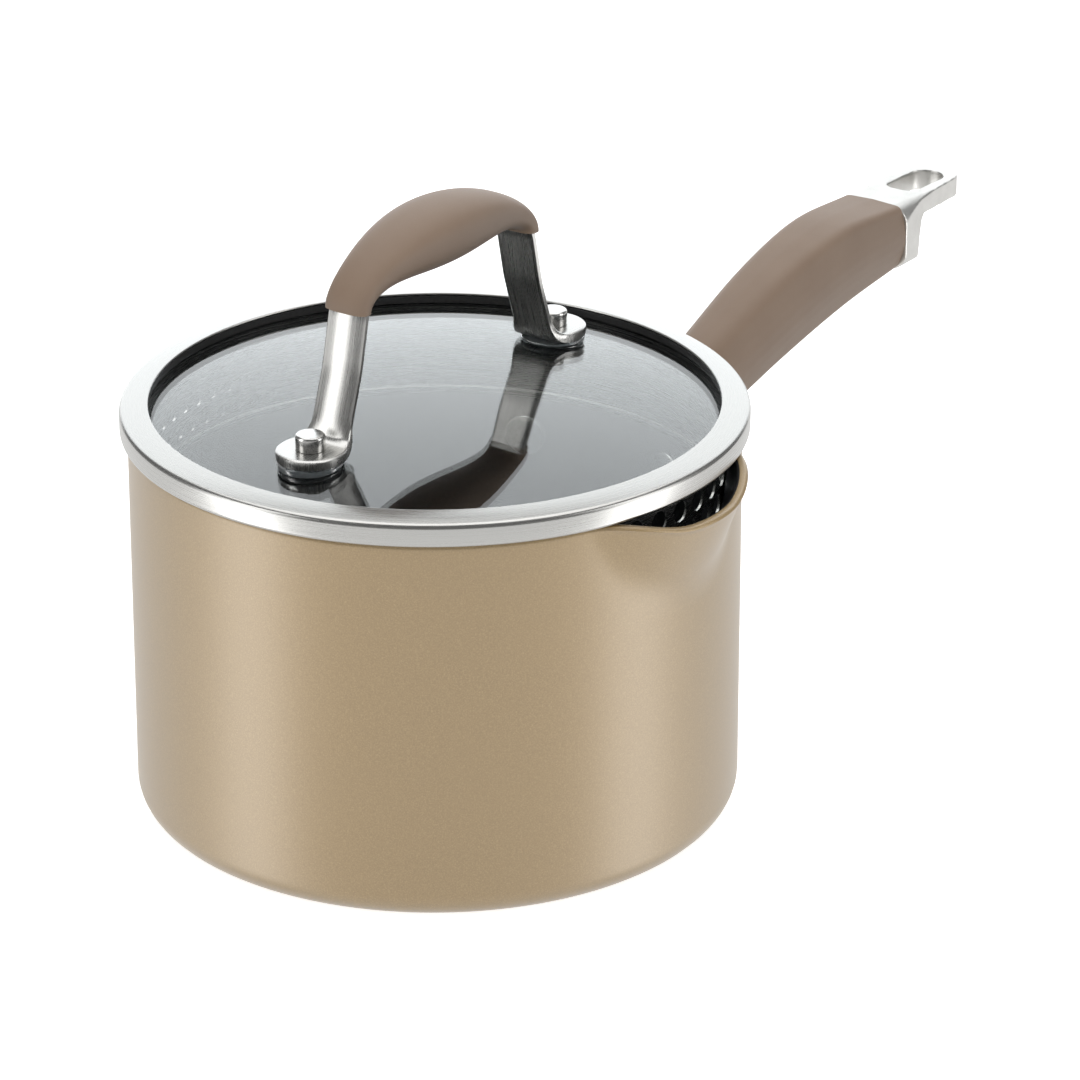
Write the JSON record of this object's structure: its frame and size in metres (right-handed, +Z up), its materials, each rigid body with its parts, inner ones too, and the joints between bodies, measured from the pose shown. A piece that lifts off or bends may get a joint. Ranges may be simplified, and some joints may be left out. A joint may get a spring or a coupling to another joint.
{
  "type": "straining saucepan with glass lid",
  "caption": "Two-spout saucepan with a riveted long handle and hanging loop, and a lift-off domed glass lid whose steel skirt is perforated for straining.",
  "frame": {"origin": "centre of the pot's flat base, on the surface that it stands on", "axes": "+Z up along the pot's axis, +X along the long handle, the pouring spouts at +Y and -Y"},
  "size_m": [0.3474, 0.1848, 0.1724],
  "materials": {
    "pot_shell": "bronze metallic paint outside, black nonstick inside",
    "steel": "satin",
    "cast_steel": "fine bead-blasted satin",
    "silicone": "matte taupe silicone",
    "lid_glass": "clear tempered",
    "rim_seal": "matte",
    "clear_gasket": "smoky translucent",
    "black_gasket": "matte black"
  },
  "bodies": {
    "pan": {"pan_body": "pot_shell", "handle_bracket": "cast_steel", "handle_rivet_left": "steel", "handle_rivet_right": "steel", "handle_grip": "silicone", "handle_end_loop": "cast_steel", "handle_tie_screw": "steel"},
    "lid_seal": {"lid_glass_seal": "rim_seal"},
    "lid": {"lid_glass": "lid_glass", "lid_rim": "steel", "lid_handle_strap": "steel", "lid_handle_grip": "silicone", "lid_stud_front": "steel", "lid_grommet_front": "clear_gasket", "lid_gasket_front": "black_gasket", "lid_washer_front": "steel", "lid_stud_rear": "steel", "lid_grommet_rear": "clear_gasket", "lid_gasket_rear": "black_gasket", "lid_washer_rear": "steel"}
  },
  "joints": [
    {"name": "lid_lift", "type": "slide", "parent": "pan", "child": "lid_seal", "axis": [0, 0, 1], "range_m": [0, 0.15]},
    {"name": "lid_turn", "type": "hinge", "parent": "lid_seal", "child": "lid", "pos_m": [0, 0, 0.11], "axis": [0, 0, 1], "continuous": true}
  ]
}
